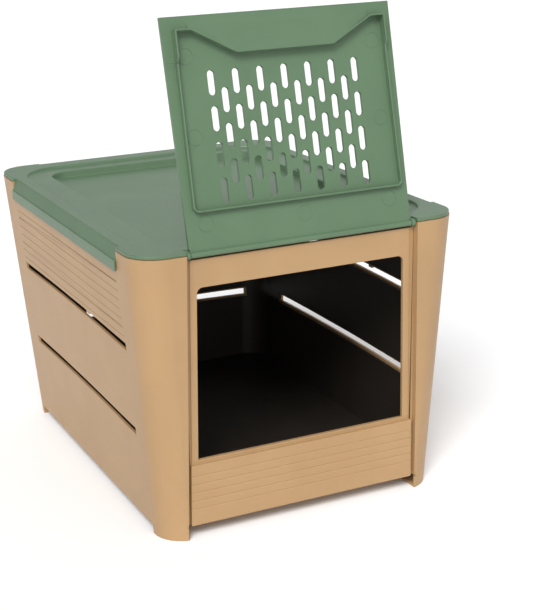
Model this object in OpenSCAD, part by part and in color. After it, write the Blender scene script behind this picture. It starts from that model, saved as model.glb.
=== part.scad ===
// Potato storage bin: a tapered ventilated crate with a dark liner, a tray lid
// and a slotted front door that hangs from two pins at the front of the lid.
// Millimetres, Z up. The origin is on the ground, midway between the posts at the top.

/* [Crate] */
// Width over the corner posts at the top
top_w = 225; // [205:1:250]
// Depth over the corner posts at the top
top_d = 300; // [270:1:330]
// Height of the corner posts
crate_h = 189.5; // [180:0.5:210]
// Lean of each side wall from foot to top
side_draft = 13.4; // [8:0.1:16]
// Lean of the front posts from foot to top
front_draft = 8.4; // [6:0.1:11]
// Lean of the back wall from foot to top
back_draft = 10.6; // [6:0.1:14]
// Thickness of the moulded walls
wall = 2; // [1.6:0.1:2.4]
// Outer radius of the corner posts
corner_r = 21; // [14:0.5:24]
// Height of the underside of the floor
floor_z = 9.2; // [7:0.1:12]
// Thickness of the floor
floor_t = 2; // [1.6:0.1:3]

/* [Posts and feet] */
// Space between the two front posts at the top
post_gap_top = 159; // [150:1:166]
// Space between the two front posts at the foot
post_gap_foot = 166; // [156:1:168]
// Reach of a front post along the side wall
front_post_reach = 34.5; // [28:0.5:40]
// Reach of a back post along the side wall
back_post_reach = 42; // [30:0.5:48]
// Reach of a foot along the side and back walls
foot_reach = 22; // [18:0.5:30]
// Height of the gap under the side and back walls
foot_gap = 6.2; // [4:0.1:7]
// Thickness of the sole that closes each foot
sole_t = 2; // [1.2:0.1:3]

/* [Wall slits and grooves] */
// Height of the lower edge of the lower slit
low_slit_z = 65.8; // [60:0.2:75]
// Height of the lower edge of the upper slit
high_slit_z = 123.8; // [110:0.2:130]
// Height of a slit at its ends
slit_h = 4.8; // [3.6:0.1:5.6]
// Rise of a slit's upper edge at mid length
slit_bow = 1.2; // [0:0.1:2]
// Loss of slit height at mid length
slit_pinch = 0.5; // [0:0.1:1.2]
// Distance from a back slit's end to the side of the crate
back_slit_inset = 17; // [14:0.5:24]
// Distance of the back slits below those of the sides
back_slit_drop = 2.4; // [0:0.1:4]
// Length of the small stop under the top slat
tab_len = 5; // [3:0.5:10]
// Height of the small stop under the top slat
tab_h = 1.6; // [0.8:0.1:1.8]
// Distance of the small stop in front of the middle of the side wall
tab_forward = 40; // [20:1:70]
// Spacing of the decorative grooves on the slats
groove_pitch = 6; // [5:0.1:7]
// Width of a groove
groove_w = 1; // [0.8:0.1:1.6]
// Plain strip above and below the grooves of the top slat
slat_margin = 3.4; // [2:0.1:6]
// Plain strip at both ends of a groove
groove_end = 5; // [3:0.5:8]
// Grooves across the front panel
panel_grooves = 5; // [3:1:5]
// Spacing of the grooves across the front panel
panel_groove_pitch = 5.7; // [5:0.1:6.4]
// Plain strip above the grooves of the front panel
panel_margin = 7.8; // [6:0.1:10]

/* [Front frame] */
// Depth of the frame behind the posts at the top
frame_recess = 4.8; // [4:0.1:6]
// Lean of the frame from foot to top
frame_draft = 7.2; // [6:0.1:8]
// Step from the frame's face down to the channels beside it
channel_step = 0.8; // [0.4:0.1:1.2]
// Width of the channel beside the frame's face
channel_w = 3.4; // [2:0.1:4.5]
// Distance of the frame's top edge below the tops of the posts
frame_drop = 4.3; // [4:0.1:6]
// Height of the top edge of the ribbed front panel
panel_top_z = 51.2; // [45:0.2:56]
// Depth of the ribbed panel behind the posts
panel_recess = 1.5; // [1:0.1:2]
// Gap between the ribbed panel and each post
panel_gap = 2.3; // [1.5:0.1:3]
// Height of the frame's face between the panel and the window
sill_h = 2.3; // [1:0.1:4]
// Height of the frame's face above the window
band_h = 18.2; // [17:0.2:24]
// Width of the frame beside the window
stile_w = 8; // [6:0.1:12]
// Radius of the window's upper corners
window_r = 4; // [2:0.5:8]

/* [Liner] */
// Thickness of the liner
liner_t = 1.2; // [1:0.1:1.6]
// Clearance between the liner and the crate
liner_gap = 0.3; // [0.2:0.05:0.5]
// Margin of the liner's slots round the crate's slits
liner_slot_margin = 1.6; // [1:0.1:3]
// Margin of the liner's opening round the window
liner_window_margin = 1; // [0.5:0.1:2]
// Distance of the liner's rim below the side walls
liner_drop = 1; // [0.5:0.1:6]

/* [Lid] */
// Thickness of the rim and of the corner pads
rim_t = 2.3; // [1.8:0.1:2.8]
// Inset of the corner pads from the faces of the posts
pad_inset = 0.4; // [0.2:0.1:0.8]
// Thickness of the tray
tray_t = 2; // [1.6:0.1:2.2]
// Distance of the rim's outer edge inside the faces of the posts
rim_inset = 2.7; // [2:0.1:3.2]
// Width of the rim along the sides
rim_side_w = 9; // [8:0.1:12]
// Width of the rim along the back
rim_back_w = 14; // [10:0.1:18]
// Width of the rim along the front
rim_front_w = 7; // [6:0.1:12]
// Drop from the rim to the border of the tray
border_drop = 1.9; // [1.5:0.1:2.2]
// Radius of the border's corners
border_r = 30; // [20:1:34]
// Width of the border along the sides
border_side_w = 19.8; // [16:0.2:24]
// Width of the border along the back
border_back_w = 13.8; // [8:0.2:16]
// Width of the border along the front
border_front_w = 13.5; // [8:0.5:18]
// Drop from the border to the floor of the tray
tray_drop = 5; // [4:0.1:7]
// Slope of the tray's walls, measured in plan
tray_slope = 1.2; // [0.5:0.1:3]
// Radius of the tray's corners
tray_r = 14; // [8:0.5:20]
// Height that the skirt hangs below the rim's top
skirt_h = 15.4; // [14:0.1:17]
// Height of the skirt's outer lip
lip_h = 7; // [5:0.1:8]
// Thickness of the skirt's outer lip
lip_t = 1.1; // [0.9:0.1:1.4]
// Width of the ledge above the lip
ledge_w = 0.8; // [0.4:0.1:0.9]
// Clearance between the lid and the walls that it covers
lid_gap = 0.3; // [0.25:0.05:0.4]

/* [Hinge] */
// Height of the hinge axis below the rim's top
hinge_drop = 3.3; // [3:0.1:3.4]
// Depth of the hinge axis behind the posts at the top
hinge_depth = 3.7; // [3.2:0.1:4]
// Radius of the door's hinge bar
bar_r = 1.9; // [1.7:0.05:2.2]
// Diameter of the hinge pins
pin_d = 2.9; // [2.4:0.1:3]
// Radial clearance of the pins in their lugs
pin_gap = 0.05; // [0.02:0.01:0.1]
// Length that a pin stands out of its lug
pin_proud = 0.2; // [0.1:0.05:0.2]
// Outer radius of the hinge lugs
lug_r = 2.4; // [2.3:0.05:2.6]
// Thickness of the hinge lugs
lug_t = 2.6; // [1.8:0.1:3]
// Side clearance between bar, lug and post
lug_gap = 0.5; // [0.4:0.1:0.6]
// Clearance of the door's lower corners above the lugs
foot_clear = 0.9; // [0.8:0.1:1.5]
// Lean of the open door behind the upright
open_lean = 12.6; // [8:0.2:14]
// Clearance between the open door and the rim that stops it
stop_gap = 0.2; // [0.1:0.05:0.3]

/* [Door] */
// Thickness of the door
door_t = 2.4; // [2:0.1:2.6]
// Overlap of the closed door with the ribbed panel
door_lap = 3.3; // [2:0.1:4]
// Gap between the door and a post at the hinge
door_side_gap = 3.2; // [3.1:0.1:5]
// Growth of the door's width from hinge to free edge
door_flare = 1.6; // [0:0.1:2]
// Height of the rib that enters the window
rib_h = 4; // [3:0.1:4.5]
// Thickness of the rib
rib_t = 1.2; // [1:0.1:1.6]
// Clearance of the rib below the top of the window
rib_top_gap = 3.1; // [1:0.1:4]
// Clearance of the rib beside the top of the window
rib_side_gap = 0.4; // [0.3:0.1:3]
// Clearance of the rib beside the sill of the window
rib_foot_gap = 3.6; // [1.5:0.1:6]
// Clearance of the rib above the sill
rib_sill_gap = 2.3; // [1.5:0.1:5]
// Radius of the rib's corners next to the hinge
rib_r = 3; // [2:0.5:6]

/* [Finger grip] */
// Width of the finger grip at its wide end
grip_w = 120.8; // [100:0.2:124]
// Width of the finger grip at its narrow end
grip_narrow_w = 65; // [50:1:80]
// Depth of the finger grip's notch in the rib
grip_notch = 15.2; // [10:0.2:20]
// Height of the grip and of the rib round it
grip_h = 6.4; // [5:0.1:7]
// Length of the rib's slanted rise to the grip's height
grip_rise = 3; // [2:0.1:5]
// Length of the level part of the grip
grip_level = 6.2; // [3:0.1:8]
// Distance of the grip from the ribbed panel when the door is closed
grip_clear = 0.5; // [0.3:0.1:1]

/* [Door slots] */
// Slots in a long row
slots_per_row = 7; // [5:1:7]
// Rows of slots
slot_rows = 7; // [3:2:7]
// Length of a slot
slot_len = 15; // [10:0.5:16]
// Width of a slot
slot_w = 4.8; // [3:0.1:5]
// Spacing of the slots along a row
slot_pitch = 16.2; // [14:0.1:17]
// Plain strip between the rib and the first row
first_row_gap = 2.6; // [2:0.1:6]
// Plain strip between the last row and the grip
last_row_gap = 8.6; // [6:0.1:14]

/* [Hidden] */
tan_plastic = "#cfa97a";
dark_plastic = "#1b1a19";
green_plastic = "#74937a";
big = 2 * (top_w + top_d + crate_h);
sliver = 0.01;
front_lean = atan(front_draft / crate_h);
frame_lean = atan(frame_draft / crate_h);
side_lean = atan(side_draft / crate_h);
back_lean = atan(back_draft / crate_h);
frame_top_z = crate_h - frame_drop;
window_top_z = frame_top_z - band_h;
window_sill_z = panel_top_z + sill_h;
rim_top_z = crate_h + rim_t;
border_z = rim_top_z - border_drop;
tray_z = border_z - tray_drop;
skirt_z = rim_top_z - skirt_h;
ledge_z = skirt_z + lip_h;
shelf_z = ledge_z - tray_t / 2;
wall_top_z = shelf_z - lid_gap;
liner_top_z = wall_top_z - liner_drop;
slat_foot_z = high_slit_z + slit_h + slit_bow;
slat_grooves = 1 + floor((skirt_z - slat_foot_z - 2 * slat_margin) / groove_pitch);
side_front_y = -top_d / 2 + front_post_reach;
side_back_y = top_d / 2 - back_post_reach;
back_post_x = post_gap_top / 2;
hinge_y = -top_d / 2 + hinge_depth;
hinge_z = rim_top_z - hinge_drop;
lug_outer_x = post_gap_top / 2 - lug_gap;
lug_inner_x = lug_outer_x - lug_t;
bar_end_x = lug_inner_x - lug_gap;
rim_x = top_w / 2 - rim_inset;
rim_back_y = top_d / 2 - rim_inset;
rim_front_y = hinge_y + (door_t + hinge_drop * sin(open_lean)) / cos(open_lean) + stop_gap;
border_x = rim_x - rim_side_w;
border_front_y = rim_front_y + rim_front_w;
border_back_y = rim_back_y - rim_back_w;
tray_x = border_x - border_side_w;
tray_front_y = border_front_y + border_front_w;
tray_back_y = border_back_y - border_back_w;
door_foot = lug_r + foot_clear;
door_len = hinge_z - panel_top_z + door_lap;
door_x = post_gap_top / 2 - door_side_gap;
rib_near = hinge_z - window_top_z + rib_top_gap + rib_t / 2;
rib_far = hinge_z - window_sill_z - rib_sill_gap - rib_t / 2;
rib_near_x = window_x(window_top_z) - rib_side_gap - rib_t / 2;
rib_far_x = window_x(window_sill_z) - rib_foot_gap - rib_t / 2;
grip_base = rib_far - grip_notch;
rise_end = grip_base - rib_t / 2;
rise_start = rise_end - grip_rise;
grip_end = hinge_z - panel_top_z - grip_clear;
first_row = rib_near + rib_t / 2 + first_row_gap + slot_len / 2;
last_row = grip_base - rib_t / 2 - last_row_gap - slot_len / 2;
row_pitch = (last_row - first_row) / (slot_rows - 1);
$fn = 48;

// Half width of the crate at a height
function half_w(z) = top_w / 2 - side_draft * (1 - z / crate_h);
// Front and back faces of the crate at a height
function front_y(z) = -top_d / 2 + front_draft * (1 - z / crate_h);
function back_y(z) = top_d / 2 - back_draft * (1 - z / crate_h);
// Face of the recessed frame at a height
function frame_y(z) = -top_d / 2 + frame_recess + frame_draft * (1 - z / crate_h);
// Half of the space between the front posts at a height
function post_x(z) = (post_gap_foot + (post_gap_top - post_gap_foot) * z / crate_h) / 2;
// Half width of the window at a height
function window_x(z) = post_x(z) - stile_w;

// Solid between two heights that follows the four leaning walls, inset by a gap.
// It ends at the posts' front faces, or behind the recessed frame.
module tapered(z0, z1, inset, behind_frame = false) {
    r = corner_r - inset;
    hull() for (z = [z0, z1], side = [-1, 1]) {
        y_front = behind_frame ? frame_y(z) + channel_step + inset : front_y(z) + inset;
        for (y = [y_front + r, back_y(z) - inset - r])
            translate([side * (half_w(z) - inset - r), y, z == z1 ? z - sliver : z])
                cylinder(h = sliver, r = r, $fn = 32);
    }
}

// Places a child on a leaning face, with the face in the child's XZ or YZ plane
module on_front(foot_y, lean) translate([0, foot_y, 0]) rotate([lean, 0, 0]) children();
module on_side(side) translate([side * half_w(0), 0, 0]) rotate([0, side * side_lean, 0]) children();
module on_back() translate([0, back_y(0), 0]) rotate([-back_lean, 0, 0]) children();

// Upright slab from y0 to y1, with straight leaning ends
module front_slab(x0, z0, x1, z1, y0, y1) {
    translate([0, y1, 0]) rotate([90, 0, 0]) linear_extrude(y1 - y0)
        polygon([[-x0, z0], [x0, z0], [x1, z1], [-x1, z1]]);
}

// Slit outline: upright ends, gently bowed long edges
function bow(u, a, b) = 1 - pow((2 * u - a - b) / (b - a), 2);
function slit_edge(a, b, z, rise) =
    [for (i = [0 : 12]) let (u = a + (b - a) * i / 12) [u, z + rise * bow(u, a, b)]];
function slit_points(a, b, z, grow) = concat(
    slit_edge(a, b, z - grow, slit_bow + slit_pinch), slit_edge(b, a, z + slit_h + grow, slit_bow));

module wall_slits(grow) {
    for (z = [low_slit_z, high_slit_z]) {
        rotate([90, 0, 90]) linear_extrude(big, center = true) polygon(slit_points(
            front_y(z) + front_post_reach - grow, back_y(z) - back_post_reach + grow, z, grow));
        back_z = z - back_slit_drop;
        back_half = half_w(back_z) - back_slit_inset + grow;
        rotate([-90, 0, 0]) mirror([0, 1, 0]) linear_extrude(big)
            polygon(slit_points(-back_half, back_half, back_z, grow));
    }
}

// Small stop that hangs from the top slat into the upper slit
module slit_tab() {
    translate([-big / 2, -tab_forward - tab_len / 2, slat_foot_z - tab_h])
        cube([big, tab_len, tab_h + slit_h]);
}

// V groove along X, cut into a face at Y = 0
module groove(len) {
    side = groove_w / sqrt(2);
    rotate([45, 0, 0]) cube([len, side, side], center = true);
}

module slat_groove_set() {
    side_len = side_back_y - side_front_y - 2 * groove_end;
    back_len = 2 * (back_post_x - groove_end);
    for (i = [0 : slat_grooves - 1]) {
        z = slat_foot_z + slat_margin + i * groove_pitch;
        for (side = [-1, 1]) on_side(side) translate([0, (side_front_y + side_back_y) / 2, z])
            rotate([0, 0, 90]) groove(side_len);
        on_back() translate([0, 0, z]) groove(back_len);
    }
}

module panel_groove_set() {
    on_front(front_y(0) + panel_recess, front_lean) for (i = [0 : panel_grooves - 1])
        translate([0, 0, panel_top_z - panel_margin - panel_groove_pitch * i]) groove(big);
}

module crate_shell() {
    difference() {
        tapered(0, crate_h, 0);
        tapered(floor_z + floor_t, crate_h + 1, wall);
        tapered(-1, floor_z, wall);
    }
}

// Frame between the posts, with the posts' inner side walls
module front_frame() {
    intersection() {
        on_front(frame_y(0), frame_lean) front_slab(post_x(0) + wall, floor_z,
            post_x(crate_h) + wall, crate_h, -big / 8, channel_step + wall);
        tapered(floor_z, crate_h, 0);
    }
}

module front_recess() {
    on_front(frame_y(0), frame_lean) difference() {
        front_slab(post_x(-1), -1, post_x(crate_h + 1), crate_h + 1, -big / 8, channel_step);
        front_slab(post_x(0) - channel_w, -2, post_x(crate_h) - channel_w, crate_h + 2, 0, big);
    }
}

module ribbed_panel() {
    difference() {
        on_front(front_y(0) + panel_recess, front_lean)
            front_slab(post_x(floor_z) - panel_gap, floor_z, post_x(panel_top_z) - panel_gap,
                panel_top_z, 0, frame_recess - panel_recess);
        panel_groove_set();
    }
}

// Hollow behind the ribbed panel
module panel_pocket() {
    inset = panel_gap + wall;
    on_front(front_y(0) + panel_recess + wall, front_lean)
        front_slab(post_x(floor_z) - inset, floor_z + floor_t, post_x(panel_top_z) - inset,
            panel_top_z - wall, 0, frame_recess + 2 * wall);
}

module window(margin) {
    r = window_r + margin;
    z_top = window_top_z + margin;
    z_sill = window_sill_z - margin;
    x_top = window_x(z_top) + margin;
    x_sill = window_x(z_sill) + margin;
    translate([0, -top_d / 4, 0]) rotate([90, 0, 0]) linear_extrude(big) difference() {
        polygon([[-x_sill, z_sill], [x_sill, z_sill], [x_top, z_top], [-x_top, z_top]]);
        for (side = [-1, 1]) translate([side * (x_top - r), z_top - r]) difference() {
            translate([side > 0 ? 0 : -2 * r, 0]) square(2 * r);
            circle(r);
        }
    }
}

module foot_soles() {
    intersection() {
        tapered(0, sole_t, 0);
        for (side = [-1, 1]) translate([side > 0 ? post_x(0) : -big - post_x(0), 0, -1]) {
            translate([0, front_y(0) - 1, 0]) cube([big, foot_reach + 1, big]);
            translate([0, back_y(0) - foot_reach, 0]) cube([big, foot_reach + 1, big]);
        }
    }
}

// Clears the walls between the feet, and between the posts above the walls
module edge_cuts() {
    front_end = front_y(0) + foot_reach;
    back_end = back_y(0) - foot_reach;
    translate([-big / 2, front_end, -1]) cube([big, back_end - front_end, foot_gap + 1]);
    translate([-post_x(0), 0, -1]) cube([2 * post_x(0), big / 2, foot_gap + 1]);
    translate([-post_x(0), -big / 2, -1]) cube([2 * post_x(0), big / 2, floor_z + 1]);
    translate([-big / 2, side_front_y, wall_top_z]) cube([big, side_back_y - side_front_y, big]);
    translate([-back_post_x, 0, wall_top_z]) cube([2 * back_post_x, big / 2, big]);
    translate([-post_x(crate_h), -big / 2, frame_top_z]) cube([2 * post_x(crate_h), big / 2, big]);
}

module crate() {
    color(tan_plastic) difference() {
        union() {
            difference() {
                union() {
                    crate_shell();
                    front_frame();
                }
                front_recess();
            }
            ribbed_panel();
            foot_soles();
        }
        edge_cuts();
        panel_pocket();
        window(0);
        difference() {
            wall_slits(0);
            slit_tab();
        }
        slat_groove_set();
    }
}

module dark_liner() {
    outside = wall + liner_gap;
    inside = outside + liner_t;
    foot_z = floor_z + floor_t;
    color(dark_plastic) difference() {
        tapered(foot_z, liner_top_z, outside, true);
        tapered(foot_z + liner_t, liner_top_z + 1, inside, true);
        wall_slits(liner_slot_margin);
        window(liner_window_margin);
    }
}

// Rounded rectangle in plan, even about the Y axis
module plan_rect(x, y0, y1, r) {
    translate([-x, y0 + r]) square([2 * x, y1 - y0 - 2 * r]);
    translate([r - x, y0]) square([2 * (x - r), y1 - y0]);
    for (side = [-1, 1], y = [y0 + r, y1 - r]) translate([side * (x - r), y]) circle(r);
}

module border_plan(grow) {
    plan_rect(border_x + grow, border_front_y - grow, border_back_y + grow, border_r + grow);
}

module tray_plan(grow) {
    plan_rect(tray_x + grow, tray_front_y - grow, tray_back_y + grow, tray_r + grow);
}

// Sloping-sided block that the tray is sunk to, from its floor up to the border
module tray_form(grow, z0, z1) {
    hull() {
        translate([0, 0, z0]) linear_extrude(sliver) tray_plan(grow, $fn = 32);
        translate([0, 0, z1 - sliver]) linear_extrude(sliver) tray_plan(grow + tray_slope, $fn = 32);
    }
}

// Four pads that lie on the posts, with the rim between them
module rim_plan() {
    pad_x = top_w / 2 - pad_inset;
    pad_y = top_d / 2 - pad_inset;
    difference() {
        plan_rect(pad_x, -pad_y, pad_y, corner_r - pad_inset);
        for (side = [-1, 1]) translate([side > 0 ? rim_x : -big - rim_x, side_front_y])
            square([big, side_back_y - side_front_y]);
        translate([-back_post_x, rim_back_y]) square([2 * back_post_x, big]);
        translate([-post_x(crate_h), rim_front_y - big]) square([2 * post_x(crate_h), big]);
    }
}

// Skirt section: lip, ledge and cove outside, a shelf over the wall's top edge inside
module skirt_section(wall_out, rim_out) {
    lip_in = wall_out + lid_gap;
    polygon([[lip_in, skirt_z], [lip_in + lip_t, skirt_z], [lip_in + lip_t, ledge_z],
        [lip_in + lip_t - ledge_w, ledge_z], [rim_out, rim_top_z], [rim_out - tray_t, rim_top_z],
        [rim_out - tray_t, crate_h], [lip_in - tray_t, ledge_z], [lip_in - tray_t, shelf_z],
        [lip_in, shelf_z]]);
}

module skirt() {
    side_len = side_back_y - side_front_y - 2 * lid_gap;
    back_len = 2 * (back_post_x - lid_gap);
    for (side = [0, 1]) mirror([side, 0, 0]) translate([0, side_back_y - lid_gap, 0])
        rotate([90, 0, 0]) linear_extrude(side_len) skirt_section(half_w(wall_top_z), rim_x);
    translate([-back_len / 2, 0, 0]) rotate([90, 0, 90]) linear_extrude(back_len)
        skirt_section(back_y(wall_top_z), rim_back_y);
}

module hinge_lugs() {
    for (x = [-lug_outer_x, lug_inner_x]) translate([x, hinge_y, hinge_z]) difference() {
        union() {
            rotate([0, 90, 0]) cylinder(h = lug_t, r = lug_r);
            translate([0, 0, -lug_r]) cube([lug_t, rim_front_y - hinge_y + tray_t, 2 * lug_r]);
        }
        translate([-1, 0, 0]) rotate([0, 90, 0]) cylinder(h = lug_t + 2, d = pin_d + 2 * pin_gap);
    }
}

module tray_lid() {
    front_wall_z = frame_top_z + 2 * lid_gap;
    color(green_plastic) difference() {
        union() {
            translate([0, 0, crate_h]) linear_extrude(rim_t) rim_plan();
            translate([0, 0, border_z - tray_t]) linear_extrude(tray_t + border_drop) border_plan(tray_t);
            tray_form(tray_t, tray_z - tray_t, border_z);
            translate([-lug_outer_x, rim_front_y, front_wall_z])
                cube([2 * lug_outer_x, tray_t, rim_top_z - front_wall_z]);
            skirt();
            hinge_lugs();
        }
        translate([0, 0, border_z]) linear_extrude(big) border_plan(0);
        tray_form(0, tray_z, border_z + sliver);
    }
}

// Thin upright wall along a run of points, with mitred corners
function heading(a, b) = (b - a) / norm(b - a);
function left_of(d) = [-d[1], d[0]];
function mitre(a, b) = let (m = left_of(a) + left_of(b)) m / (m * left_of(a));
function corner_offset(points, i) = let (last = len(points) - 1)
    mitre(heading(points[max(i - 1, 0)], points[max(i, 1)]),
        heading(points[min(i, last - 1)], points[min(i + 1, last)])) * rib_t / 2;

module wall_run(points, h) {
    last = len(points) - 1;
    linear_extrude(h) polygon(concat(
        [for (i = [0 : last]) points[i] + corner_offset(points, i)],
        [for (i = [last : -1 : 0]) points[i] - corner_offset(points, i)]));
}

function arc_points(cx, cy, r, from, to) =
    [for (i = [0 : 4]) let (t = from + (to - from) * i / 4) [cx + r * cos(t), cy + r * sin(t)]];
// Half width of the rib at a distance from the hinge
function rib_x(v) = rib_near_x + (rib_far_x - rib_near_x) * (v - rib_near) / (rib_far - rib_near);
function mirrored(points) = [for (i = [len(points) - 1 : -1 : 0]) [-points[i][0], points[i][1]]];

// The door is drawn flat: X along the hinge, Y away from it, Z towards the inside of the crate
module door_rib() {
    corner = arc_points(rib_near_x - rib_r, rib_near + rib_r, rib_r, -90, 0);
    low_side = concat(corner, [[rib_x(rise_start), rise_start]]);
    high_side = [[rib_x(rise_start), rise_start], [rib_far_x, rib_far], [grip_w / 2, rib_far],
        [grip_narrow_w / 2, grip_base]];
    wall_run(concat(mirrored(low_side), low_side), rib_h);
    intersection() {
        wall_run(concat(high_side, mirrored(high_side)), grip_h);
        rib_rise();
    }
}

// Side view of the high part of the rib, which rises from the low part on a slant
module rib_rise() {
    rotate([90, 0, 90]) linear_extrude(big, center = true)
        polygon([[rise_start - 1, -1], [grip_end, -1], [grip_end, big], [rise_end, big],
            [rise_end, grip_h], [rise_start, rib_h], [rise_start - 1, rib_h]]);
}

module grip_outline() {
    half = grip_w / 2;
    base_half = grip_narrow_w / 2;
    polygon([[-base_half, grip_base], [base_half, grip_base], [half, rib_far],
        [half, grip_end], [-half, grip_end], [-half, rib_far]]);
}

// Side view of the grip, filled down from a surface that lies at a depth below the grip's own
module grip_fill(depth) {
    rotate([90, 0, 90]) linear_extrude(big, center = true)
        polygon([[grip_base - 1, -door_t - 1], [grip_end, -door_t - 1], [grip_end, -depth],
            [grip_base + grip_level, grip_h - depth], [grip_base - 1, grip_h - depth]]);
}

module grip_block(depth) {
    intersection() {
        translate([0, 0, -door_t]) linear_extrude(door_t + grip_h) grip_outline();
        grip_fill(depth);
    }
}

module door_slots() {
    for (row = [0 : slot_rows - 1]) {
        count = row % 2 == 0 ? slots_per_row : slots_per_row - 1;
        y = first_row + row * row_pitch;
        for (i = [0 : count - 1]) translate([(i - (count - 1) / 2) * slot_pitch, y]) {
            for (end = [-1, 1]) translate([0, end * (slot_len - slot_w) / 2]) circle(d = slot_w, $fn = 24);
            square([slot_w, slot_len - slot_w], center = true);
        }
    }
}

module door_plate() {
    linear_extrude(door_t) difference() {
        union() {
            polygon([[-door_x, door_foot], [door_x, door_foot],
                [door_x + door_flare / 2, door_len], [-door_x - door_flare / 2, door_len]]);
            translate([-bar_end_x, 0]) square([2 * bar_end_x, door_foot + 1]);
        }
        door_slots();
    }
}

module door_flat() {
    difference() {
        union() {
            translate([0, 0, -door_t]) door_plate();
            grip_block(0);
        }
        grip_block(door_t);
    }
    door_rib();
    rotate([0, 90, 0]) cylinder(h = 2 * bar_end_x, r = bar_r, center = true);
    rotate([0, 90, 0]) cylinder(h = 2 * (lug_outer_x + pin_proud), d = pin_d, center = true);
}

module front_door() {
    color(green_plastic) translate([0, hinge_y, hinge_z]) rotate([90 - open_lean, 0, 0]) door_flat();
}

crate();
dark_liner();
tray_lid();
front_door();
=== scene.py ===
# %% [markdown]
# # A ventilated storage bin with a tray lid and a swing-up front door
# The bin is four mouldings: a tan crate, a dark liner inside it, a green lid with a sunken tray,
# and a green slotted door that hangs from two small pins at the front of the lid.
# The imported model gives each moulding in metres, in one frame: X to the right, the front faces -Y,
# Z up, and the ground at Z = 0. This lesson gives the mouldings their edges, marks and finishes.

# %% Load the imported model
import math
import bmesh
import bpy
from mathutils import Matrix, Vector


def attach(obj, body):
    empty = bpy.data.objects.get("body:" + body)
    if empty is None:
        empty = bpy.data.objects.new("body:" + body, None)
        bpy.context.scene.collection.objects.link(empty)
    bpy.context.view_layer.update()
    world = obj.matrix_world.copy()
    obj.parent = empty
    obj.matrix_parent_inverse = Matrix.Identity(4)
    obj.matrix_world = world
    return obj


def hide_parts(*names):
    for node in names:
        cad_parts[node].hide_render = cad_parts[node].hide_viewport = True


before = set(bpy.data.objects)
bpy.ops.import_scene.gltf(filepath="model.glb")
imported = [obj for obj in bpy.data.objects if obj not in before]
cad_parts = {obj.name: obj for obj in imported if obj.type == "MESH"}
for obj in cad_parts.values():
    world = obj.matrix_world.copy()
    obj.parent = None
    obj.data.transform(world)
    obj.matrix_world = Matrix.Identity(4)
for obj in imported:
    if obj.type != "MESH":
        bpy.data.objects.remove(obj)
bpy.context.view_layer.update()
MM = 0.001
print("mouldings:", sorted(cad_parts))

# %% [markdown]
# ## Camera
# The camera was solved from straight edges of the bin, so its place is known in millimetres.
# A camera looks along its own -Z with its own Y up, so the three directions of the view make the
# columns of its rotation. They are used instead of Euler angles, because they need no order.
# The long side of a 550 x 610 picture is the height, and Blender measures the sensor along it.

# %% Place the camera
CAMERA_MM = (-381.96, -907.96, 414.91)
YAW, PITCH, ROLL = math.radians(25.35), math.radians(-17.51), math.radians(-1.48)
FOCAL_PX, LONG_SIDE_PX, SENSOR_MM = 1427.4, 610, 36.0

forward = Vector((math.sin(YAW) * math.cos(PITCH), math.cos(YAW) * math.cos(PITCH), math.sin(PITCH)))
level_right = forward.cross(Vector((0, 0, 1))).normalized()
level_up = level_right.cross(forward)
right = math.cos(ROLL) * level_right + math.sin(ROLL) * level_up
up = math.cos(ROLL) * level_up - math.sin(ROLL) * level_right

lens = bpy.data.cameras.new("studio_camera")
lens.sensor_width = SENSOR_MM
lens.lens = SENSOR_MM * FOCAL_PX / LONG_SIDE_PX
lens.clip_start, lens.clip_end = 0.05, 60
camera = bpy.data.objects.new("studio_camera", lens)
turn = Matrix((right, up, -forward)).transposed().to_4x4()
camera.matrix_world = Matrix.Translation(Vector(CAMERA_MM) * MM) @ turn
bpy.context.scene.collection.objects.link(camera)
bpy.context.scene.camera = camera
print(f"lens {lens.lens:.2f} mm, {Vector(CAMERA_MM).length:.0f} mm from the origin")

# %% [markdown]
# ## Colours and nodes
# Colours are easiest to judge as the sRGB hex values of an image editor, but shaders calculate in
# linear light, so one function converts them. A second small function adds a node with its
# settings, its fixed values and its incoming links in one line, which keeps the materials short.

# %% Helpers for colours and nodes
def linear(hex_colour):
    """Turn an sRGB hex colour into linear RGBA."""
    parts = [int(hex_colour[i:i + 2], 16) / 255 for i in (1, 3, 5)]
    return (*[c / 12.92 if c <= 0.04045 else ((c + 0.055) / 1.055) ** 2.4 for c in parts], 1.0)


def add_node(tree, kind, settings=None, values=None, links=None):
    """Add a node, set its properties and input values, and link its inputs from other sockets."""
    made = tree.nodes.new(kind)
    for key, value in (settings or {}).items():
        setattr(made, key, value)
    for key, value in (values or {}).items():
        made.inputs[key].default_value = value
    for key, socket in (links or {}).items():
        tree.links.new(socket, made.inputs[key])
    return made


print("tan in linear light:", [round(c, 3) for c in linear("#d0a676")])

# %% [markdown]
# ## The finish of moulded polypropylene
# Crate, lid and door are injection-moulded polypropylene with a satin surface. Such a surface has
# three scales: cloudy tone from the flow of the pigment, over some 40 mm; a slight waviness from
# uneven shrinkage, over some 15 mm, which bends the reflections; and the spark-eroded grain of the
# steel mould, near 0.2 mm. The grain is too fine for the picture, so it is drawn at 0.8 mm.
# Polypropylene lets a little light in, so it gets weak subsurface scattering.
# All patterns read Object coordinates, because the pieces are solids with no useful UV map.

# %% Moulded polypropylene
FLOW_MM, WAVE_MM, GRAIN_MM = 40.0, 15.0, 0.8
SCATTER_DEPTH_MM = 1.5


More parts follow.
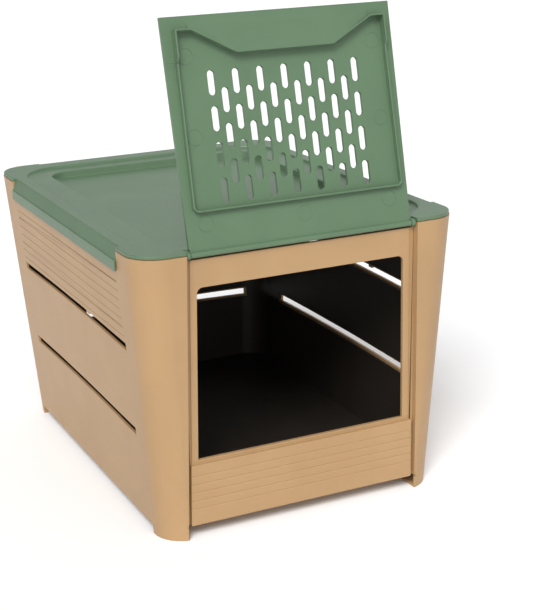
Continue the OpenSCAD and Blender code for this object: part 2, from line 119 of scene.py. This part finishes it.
def moulded_polypropylene(name, tone, cloudy_tone, roughness, scatter):
    """Satin injection-moulded polypropylene in a tone that clouds softly into a second one."""
    finish = bpy.data.materials.new(name)
    finish.use_nodes = True
    tree = finish.node_tree
    tree.nodes.clear()
    place = add_node(tree, "ShaderNodeTexCoord").outputs["Object"]
    flow = add_node(tree, "ShaderNodeTexNoise", values={
        "Scale": 1 / (FLOW_MM * MM), "Detail": 3.0, "Roughness": 0.45, "Distortion": 0.6},
        links={"Vector": place})
    wave = add_node(tree, "ShaderNodeTexNoise", values={
        "Scale": 1 / (WAVE_MM * MM), "Detail": 1.0}, links={"Vector": place})
    grain = add_node(tree, "ShaderNodeTexNoise", values={
        "Scale": 1 / (GRAIN_MM * MM), "Detail": 2.0, "Roughness": 0.6}, links={"Vector": place})
    cloud = add_node(tree, "ShaderNodeMapRange", values={
        "From Min": 0.35, "From Max": 0.65}, links={"Value": flow.outputs["Fac"]})
    colour = add_node(tree, "ShaderNodeMix", {"data_type": "RGBA"}, {
        6: linear(tone), 7: linear(cloudy_tone)}, {0: cloud.outputs[0]})
    gloss = add_node(tree, "ShaderNodeMapRange", values={
        "From Min": 0.3, "From Max": 0.7, "To Min": roughness - 0.04, "To Max": roughness + 0.05},
        links={"Value": grain.outputs["Fac"]})
    waviness = add_node(tree, "ShaderNodeBump", values={
        "Strength": 0.10, "Distance": 0.6 * MM}, links={"Height": wave.outputs["Fac"]})
    texture = add_node(tree, "ShaderNodeBump", values={
        "Strength": 0.12, "Distance": 0.05 * MM},
        links={"Height": grain.outputs["Fac"], "Normal": waviness.outputs["Normal"]})
    shader = add_node(tree, "ShaderNodeBsdfPrincipled", values={
        "IOR": 1.49, "Specular IOR Level": 0.42, "Subsurface Weight": scatter,
        "Subsurface Radius": (1.0, 0.75, 0.5), "Subsurface Scale": SCATTER_DEPTH_MM * MM}, links={
        "Base Color": colour.outputs[2], "Roughness": gloss.outputs[0], "Normal": texture.outputs["Normal"]})
    add_node(tree, "ShaderNodeOutputMaterial", links={"Surface": shader.outputs[0]})
    return finish


tan_polypropylene = moulded_polypropylene(
    "tan_moulded_polypropylene", "#a98860", "#a5845d", 0.42, 0.06)
green_polypropylene = moulded_polypropylene(
    "sage_green_moulded_polypropylene", "#587156", "#556d53", 0.40, 0.08)
liner_polypropylene = moulded_polypropylene(
    "dark_moulded_polypropylene", "#2f2924", "#29241f", 0.5, 0.0)
print("finishes:", tan_polypropylene.name, green_polypropylene.name, liner_polypropylene.name)

# %% [markdown]
# ## From a drawn solid to a moulding
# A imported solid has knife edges, and its mesh is loose triangles. No steel mould leaves a perfectly
# sharp edge: there is always a radius of a few tenths of a millimetre, and it is what catches the
# light. The edges could be rounded by hand, but a Bevel modifier does it for every edge sharper
# than a limit, in one way. So each solid is copied, its triangles are merged into flat faces, the
# bevel is turned into real mesh, and the result takes the place of the solid. A flat face that runs
# all round the window could fold over it when its outline is bevelled, so the crate's faces are
# first cut along its middle plane, and the cut is left out of the merging.
# Faces that meet at less than the limit, as on the rounded posts, are shaded smooth instead.
# The modifier's width is 1 mm, and each sharp edge gets its own radius as a bevel weight.

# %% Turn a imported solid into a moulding
SMOOTH_LIMIT, MERGE_ANGLE = math.radians(32), math.radians(0.6)
WELD_MM, SEAM_SNAP_MM = 0.002, 0.001


def plain_mesh(thing):
    """Swap an object's live modifiers for the mesh that they make."""
    bpy.context.view_layer.update()
    made = bpy.data.meshes.new_from_object(thing.evaluated_get(bpy.context.evaluated_depsgraph_get()))
    thing.modifiers.clear()
    thing.data = made
    return thing


def moulding(node, name, finish, edge_radius_mm, radius_at=None, halved=False):
    """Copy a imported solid, round its edges slightly and give it its finish.

    radius_at may give another radius for an edge from the middle of that edge in millimetres, and
    a halved piece keeps a flat seam along its middle plane."""
    shape = bmesh.new()
    shape.from_mesh(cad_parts[node].data)
    bmesh.ops.remove_doubles(shape, verts=shape.verts, dist=WELD_MM * MM)
    seam = set()
    if halved:
        everything = [*shape.verts, *shape.edges, *shape.faces]
        cut = bmesh.ops.bisect_plane(shape, geom=everything, dist=SEAM_SNAP_MM * MM,
                                     plane_co=(0, 0, 0), plane_no=(1, 0, 0))
        seam = {part for part in cut["geom_cut"] if isinstance(part, bmesh.types.BMEdge)}
    bmesh.ops.dissolve_limit(shape, angle_limit=MERGE_ANGLE, verts=shape.verts,
                             edges=[edge for edge in shape.edges if edge not in seam])
    weight = shape.edges.layers.float.new("bevel_weight_edge")
    for edge in shape.edges:
        if edge.is_manifold and edge.calc_face_angle() > SMOOTH_LIMIT:
            middle = (edge.verts[0].co + edge.verts[1].co) / 2 / MM
            edge[weight] = (radius_at and radius_at(middle)) or edge_radius_mm
    mesh = bpy.data.meshes.new(name)
    shape.to_mesh(mesh)
    shape.free()
    mesh.materials.append(finish)
    mesh.polygons.foreach_set("use_smooth", [True] * len(mesh.polygons))
    piece = bpy.data.objects.new(name, mesh)
    bpy.context.scene.collection.objects.link(piece)
    rounding = piece.modifiers.new("edge_radius", "BEVEL")
    rounding.width = 1 * MM
    rounding.segments = 2
    rounding.limit_method = "WEIGHT"
    rounding.use_clamp_overlap = False
    rounding.miter_outer = "MITER_ARC"
    shading = piece.modifiers.new("flat_faces_lead", "WEIGHTED_NORMAL")
    shading.mode, shading.weight = "FACE_AREA", 80
    plain_mesh(piece)
    print(f"{name}: {len(piece.data.polygons)} faces, {edge_radius_mm} mm edges")
    return piece


def install(piece, node, body):
    """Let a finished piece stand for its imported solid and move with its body."""
    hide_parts(node)
    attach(piece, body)
    return piece


# %% [markdown]
# ## The crate and its liner
# The crate is one tan moulding, with rounded corner posts, slats and a recessed front frame. The
# liner is a dark inner shell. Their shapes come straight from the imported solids.

# %% Crate and liner
crate = install(moulding("crate", "crate_moulding", tan_polypropylene, 0.3, halved=True), "crate", "bin")
liner = install(moulding("dark_liner", "liner_moulding", liner_polypropylene, 0.2), "dark_liner", "bin")

# %% [markdown]
# ## The lid
# The lid is the green tray. Its rim, border and tray step down one after another, and the lip of
# its skirt hangs outside the walls. The steps round the tray are softer than the outer edges, so
# that they can be wiped clean: their radius is 0.9 mm, and they show as thin lines of light.

# %% Lid
STEP_LEVELS_MM, STEP_RADIUS_MM = (191.8, 189.9, 184.9), 0.9
STEP_HALF_WIDTH_MM, STEP_FRONT_MM, STEP_BACK_MM = 101, -136, 133.5


def step_radius(middle):
    """The softer radius, for edges of the steps round the tray only."""
    on_level = any(abs(middle.z - level) < 0.05 for level in STEP_LEVELS_MM)
    inside = abs(middle.x) < STEP_HALF_WIDTH_MM and STEP_FRONT_MM < middle.y < STEP_BACK_MM
    return STEP_RADIUS_MM if on_level and inside else None


lid_piece = moulding("tray_lid", "lid_moulding", green_polypropylene, 0.35, step_radius)
lid = install(lid_piece, "tray_lid", "lid")

# %% [markdown]
# ## The door and its ejector marks
# The door is a slotted plate with a rib that enters the window. When the mould opens, steel pins
# push the door out of it, and each pin leaves a faint round witness on the inner face: a ring with
# a slightly raised edge, 9.5 mm across. Seven equal rings are a job for Geometry Nodes. The tree
# sweeps a small round profile along a circle and puts one ring on each point of a small mesh.
# The points lie in the door's own plane, so one matrix carries them to the open door.

# %% The plane of the open door
HINGE_MM = Vector((0, -146.3, 188.5))
DOOR_LEAN = math.radians(77.4)
door_plane = Matrix.Translation(HINGE_MM * MM) @ Matrix.Rotation(DOOR_LEAN, 4, "X")
print("away from the hinge:", [round(v, 3) for v in door_plane.to_3x3() @ Vector((0, 1, 0))])

# %% Geometry Nodes: one ring on every point
EJECTOR_MARKS_MM = [(-63.5, 17.4), (62.5, 17.4), (2.5, 15.7), (-63.5, 68.9), (62.5, 68.9),
                    (-63.5, 116.9), (62.5, 116.9)]


def input_id(tree, name):
    """The identifier of a named group input, which is what a modifier's setting goes by."""
    return next(socket.identifier for socket in tree.interface.items_tree
                if socket.item_type == "SOCKET" and socket.name == name)


def ring_tree(finish):
    """Rings on points: a circle with a round profile, realised and given its material."""
    tree = bpy.data.node_groups.new("rings_on_points", "GeometryNodeTree")
    tree.interface.new_socket("Geometry", in_out="INPUT", socket_type="NodeSocketGeometry")
    for name in ("Ring Radius", "Profile Radius"):
        tree.interface.new_socket(name, in_out="INPUT", socket_type="NodeSocketFloat")
    tree.interface.new_socket("Geometry", in_out="OUTPUT", socket_type="NodeSocketGeometry")
    given = add_node(tree, "NodeGroupInput").outputs
    path = add_node(tree, "GeometryNodeCurvePrimitiveCircle", values={"Resolution": 48},
                    links={"Radius": given["Ring Radius"]})
    profile = add_node(tree, "GeometryNodeCurvePrimitiveCircle", values={"Resolution": 8},
                       links={"Radius": given["Profile Radius"]})
    ring = add_node(tree, "GeometryNodeCurveToMesh", links={
        "Curve": path.outputs["Curve"], "Profile Curve": profile.outputs["Curve"]})
    points = add_node(tree, "GeometryNodeMeshToPoints", links={"Mesh": given["Geometry"]})
    placed = add_node(tree, "GeometryNodeInstanceOnPoints", links={
        "Points": points.outputs["Points"], "Instance": ring.outputs["Mesh"]})
    real = add_node(tree, "GeometryNodeRealizeInstances", links={"Geometry": placed.outputs["Instances"]})
    painted = add_node(tree, "GeometryNodeSetMaterial", values={"Material": finish},
                       links={"Geometry": real.outputs["Geometry"]})
    add_node(tree, "NodeGroupOutput", links={"Geometry": painted.outputs["Geometry"]})
    return tree


ring_nodes = ring_tree(green_polypropylene)
print("ring tree:", len(ring_nodes.nodes), "nodes")

# %% Ejector marks on the inner face
RING_RADIUS_MM, RING_PROFILE_MM = 4.75, 0.22
mark_points = bpy.data.meshes.new("ejector_marks")
mark_points.from_pydata([(x * MM, y * MM, 0) for x, y in EJECTOR_MARKS_MM], [], [])
marks = bpy.data.objects.new("ejector_marks", mark_points)
bpy.context.scene.collection.objects.link(marks)
rings = marks.modifiers.new("rings", "NODES")
rings.node_group = ring_nodes
rings[input_id(ring_nodes, "Ring Radius")] = RING_RADIUS_MM * MM
rings[input_id(ring_nodes, "Profile Radius")] = RING_PROFILE_MM * MM
plain_mesh(marks)
marks.data.transform(door_plane)
marks.data.polygons.foreach_set("use_smooth", [True] * len(marks.data.polygons))
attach(marks, "door")
print("ejector marks:", len(EJECTOR_MARKS_MM), "rings,", len(marks.data.polygons), "faces")

# %% [markdown]
# ## The door's edges
# The tops of the rib and of the grip are touched by fingers, so their edges are rounder than the
# rest. They lie more than 3.5 mm above the inner face, and the inverse of the matrix finds them.

# %% Door
CREST_LEVEL_MM, CREST_RADIUS_MM = 3.5, 0.4
door_plane_back = door_plane.inverted()


def crest_radius(middle):
    """The rounder radius, for edges that stand above the inner face only."""
    return CREST_RADIUS_MM if (door_plane_back @ (middle * MM)).z > CREST_LEVEL_MM * MM else None


door_piece = moulding("front_door", "door_moulding", green_polypropylene, 0.2, crest_radius)
door = install(door_piece, "front_door", "door")

# %% [markdown]
# ## Floor and light
# The picture is a catalogue shot on a white sweep, lit softly from the front left, with a second
# light at the right rear that lays a long sheen over the lid. A wide sun gives the direction. The
# soft boxes could be area lamps, but here they are bright patches of the world, because those
# stay equally large from every side of the bin. A patch is full where the angle to its middle is
# small and fades out smoothly. The floor is a plain pale plane that runs far past the view.

# %% Floor
FLOOR_HALF_MM = 15000
floor_mesh = bpy.data.meshes.new("floor")
floor_corners = [(x * FLOOR_HALF_MM * MM, y * FLOOR_HALF_MM * MM, 0)
                 for x, y in ((-1, -1), (1, -1), (1, 1), (-1, 1))]
floor_mesh.from_pydata(floor_corners, [], [(0, 1, 2, 3)])
floor = bpy.data.objects.new("floor", floor_mesh)
bpy.context.scene.collection.objects.link(floor)
paper = bpy.data.materials.new("white_paper_sweep")
paper.use_nodes = True
paper.node_tree.nodes["Principled BSDF"].inputs["Base Color"].default_value = linear("#fafafa")
paper.node_tree.nodes["Principled BSDF"].inputs["Roughness"].default_value = 0.9
floor_mesh.materials.append(paper)
print("floor:", 2 * FLOOR_HALF_MM, "mm wide")

# %% Lights
SUN_FROM = Vector((-0.42, -0.58, 0.67))
SUN_STRENGTH, SUN_WIDTH_DEG = 2.6, 25.0
SOFT_BOXES = [((0, -0.87, 0.50), 0.63), ((-0.60, -0.60, 0.53), 0.84),
              ((0.65, 0.65, 0.38), 0.80), ((0.87, 0, 0.50), 0.18)]
FADE_OUT_COSINE, FULL_COSINE = 0.45, 0.95

lamp = bpy.data.lights.new("key_light", "SUN")
lamp.energy, lamp.angle = SUN_STRENGTH, math.radians(SUN_WIDTH_DEG)
key_light = bpy.data.objects.new("key_light", lamp)
key_light.rotation_mode = "QUATERNION"
key_light.rotation_quaternion = SUN_FROM.to_track_quat("Z", "Y")
bpy.context.scene.collection.objects.link(key_light)

surround = bpy.data.worlds.new("white_surround")
surround.use_nodes = True
sky = surround.node_tree
direction = add_node(sky, "ShaderNodeTexCoord").outputs["Generated"]
total = None
for towards, strength in SOFT_BOXES:
    facing = add_node(sky, "ShaderNodeVectorMath", {"operation": "DOT_PRODUCT"},
                      {1: Vector(towards).normalized()}, {0: direction})
    patch = add_node(sky, "ShaderNodeMapRange", {"interpolation_type": "SMOOTHSTEP"}, {
        "From Min": FADE_OUT_COSINE, "From Max": FULL_COSINE, "To Max": strength},
        {"Value": facing.outputs["Value"]})
    total = patch.outputs[0] if total is None else add_node(sky, "ShaderNodeMath", links={
        0: total, 1: patch.outputs[0]}).outputs[0]
sky.nodes["Background"].inputs["Color"].default_value = linear("#fdfdff")
sky.links.new(total, sky.nodes["Background"].inputs["Strength"])
bpy.context.scene.world = surround
bpy.context.scene.view_settings.view_transform = "Standard"
print("key from", [round(v, 2) for v in SUN_FROM], "and", len(SOFT_BOXES), "soft boxes")
